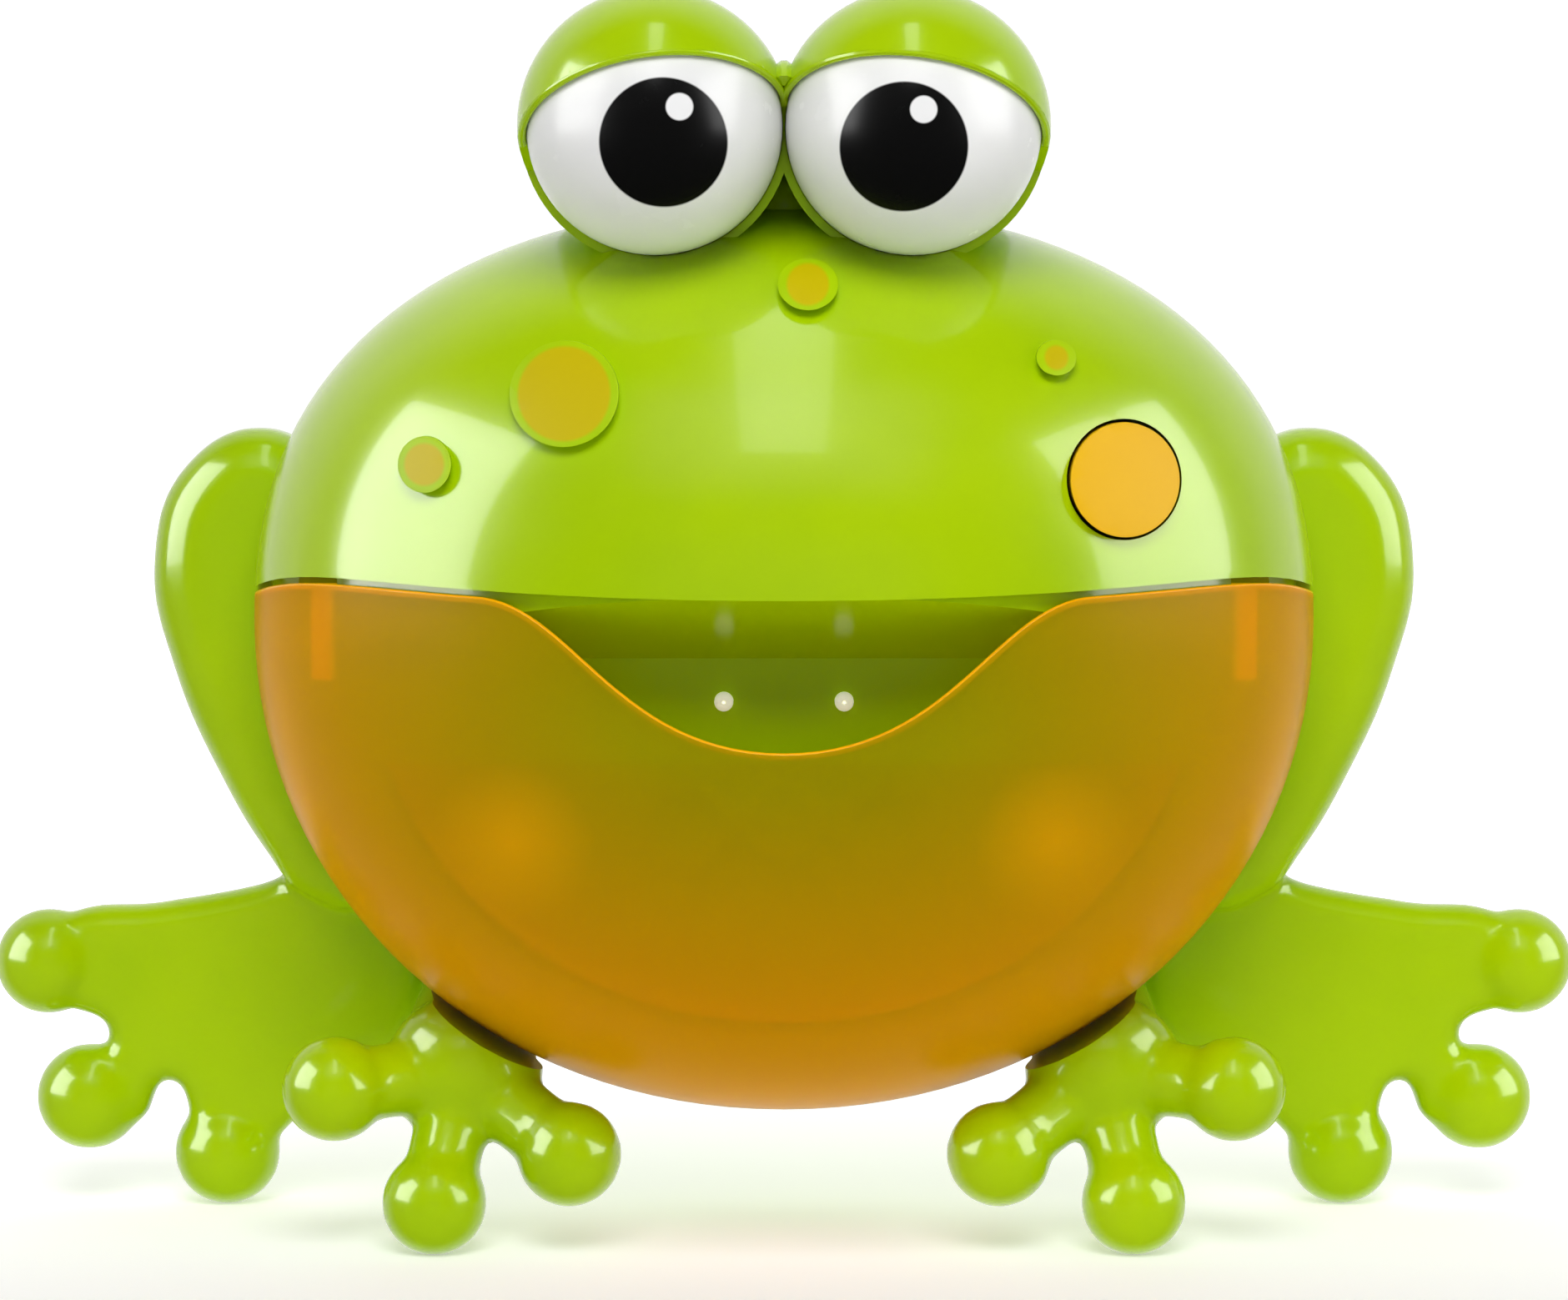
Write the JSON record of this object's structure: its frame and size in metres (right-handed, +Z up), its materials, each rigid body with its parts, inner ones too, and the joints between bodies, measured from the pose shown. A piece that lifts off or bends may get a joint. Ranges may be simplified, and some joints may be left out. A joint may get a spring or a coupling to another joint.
{
  "type": "bubble frog bath toy",
  "caption": "Frog-shaped bath toy that blows bubbles from its mouth, with a lime shell, see-through amber liquid tray, press button, ball-toed legs and suction cups on its back.",
  "frame": {"origin": "middle of the bounding box on the floor the toes stand on", "axes": "+X to the right as seen from the front, +Y to the back and its suction cups, +Z up"},
  "size_m": [0.2466, 0.0994, 0.1867],
  "materials": {
    "lime": "gloss moulded ABS",
    "liner_lime": "gloss moulded ABS",
    "amber": "clear tinted, slightly hazy",
    "eye_white": "gloss with printed pupil",
    "button_yellow": "satin",
    "jet_cream": "satin",
    "cup_vinyl": "clear soft vinyl",
    "steel": "plain",
    "brass": "plain",
    "cell": "plain wrapped cell",
    "board": "solder mask",
    "dark_plastic": "satin",
    "gear_white": "satin",
    "rubber": "matt"
  },
  "bodies": {
    "body": {"front_shell": "lime", "rear_shell": "lime", "hind_leg_left": "lime", "hind_leg_right": "lime", "front_leg_left": "lime", "front_leg_right": "lime", "mouth_liner": "liner_lime", "eye_left": "eye_white", "eye_right": "eye_white", "air_jet_left": "jet_cream", "air_jet_right": "jet_cream", "suction_cup_1": "cup_vinyl", "suction_cup_2": "cup_vinyl", "suction_cup_3": "cup_vinyl", "suction_cup_4": "cup_vinyl", "motor": "steel", "reduction_pin": "steel", "button_spring": "steel", "case_screw_1": "steel", "case_screw_2": "steel", "case_screw_3": "steel", "case_screw_4": "steel", "frame_screw_1": "steel", "frame_screw_2": "steel", "contact_spring_1": "steel", "contact_spring_2": "steel", "contact_spring_3": "steel", "contact_plate_1": "brass", "contact_plate_2": "brass", "contact_plate_3": "brass", "battery_cell_1": "cell", "battery_cell_2": "cell", "battery_cell_3": "cell", "circuit_board": "board", "tact_switch": "dark_plastic", "speaker": "dark_plastic", "blower_housing": "dark_plastic", "blower_cover": "dark_plastic", "battery_box": "dark_plastic", "gear_frame": "gear_white", "shaft_seal": "rubber"},
    "button": {"power_button": "button_yellow"},
    "tray": {"bubble_tray": "amber"},
    "wand": {"bubble_wand": "amber", "wand_clip": "jet_cream"},
    "output": {"output_shaft": "steel", "output_gear": "gear_white"},
    "reduction": {"reduction_gear": "gear_white"},
    "rotor": {"motor_shaft": "steel", "motor_pinion": "brass", "impeller": "gear_white"},
    "door": {"battery_door": "lime", "door_screw": "steel"}
  },
  "joints": [
    {"name": "button_press", "type": "slide", "parent": "body", "child": "button", "axis": [0, 1, 0], "range_m": [0, 0.002], "stiffness_N_per_m": 600, "deforming": ["button_spring"]},
    {"name": "tray_pull", "type": "slide", "parent": "body", "child": "tray", "axis": [0, -1, 0], "range_m": [0, 0.06]},
    {"name": "reduction_spin", "type": "hinge", "parent": "body", "child": "reduction", "pos_m": [0, 0, 0.083], "axis": [0, 1, 0], "continuous": true},
    {"name": "motor_spin", "type": "hinge", "parent": "body", "child": "rotor", "pos_m": [0, 0, 0.099], "axis": [0, 1, 0], "continuous": true},
    {"name": "output_spin", "type": "hinge", "parent": "body", "child": "output", "pos_m": [0, 0, 0.067], "axis": [0, 1, 0], "continuous": true},
    {"name": "wand_spin", "type": "hinge", "parent": "tray", "child": "wand", "pos_m": [0, 0, 0.067], "axis": [0, 1, 0], "continuous": true},
    {"name": "door_off", "type": "slide", "parent": "body", "child": "door", "axis": [0, 1, 0], "range_m": [0, 0.03]}
  ],
  "couplings": [
    {"joint": "motor_spin", "follows": "reduction_spin", "ratio": -4},
    {"joint": "output_spin", "follows": "reduction_spin", "ratio": -0.25},
    {"joint": "wand_spin", "follows": "reduction_spin", "ratio": -0.25}
  ]
}
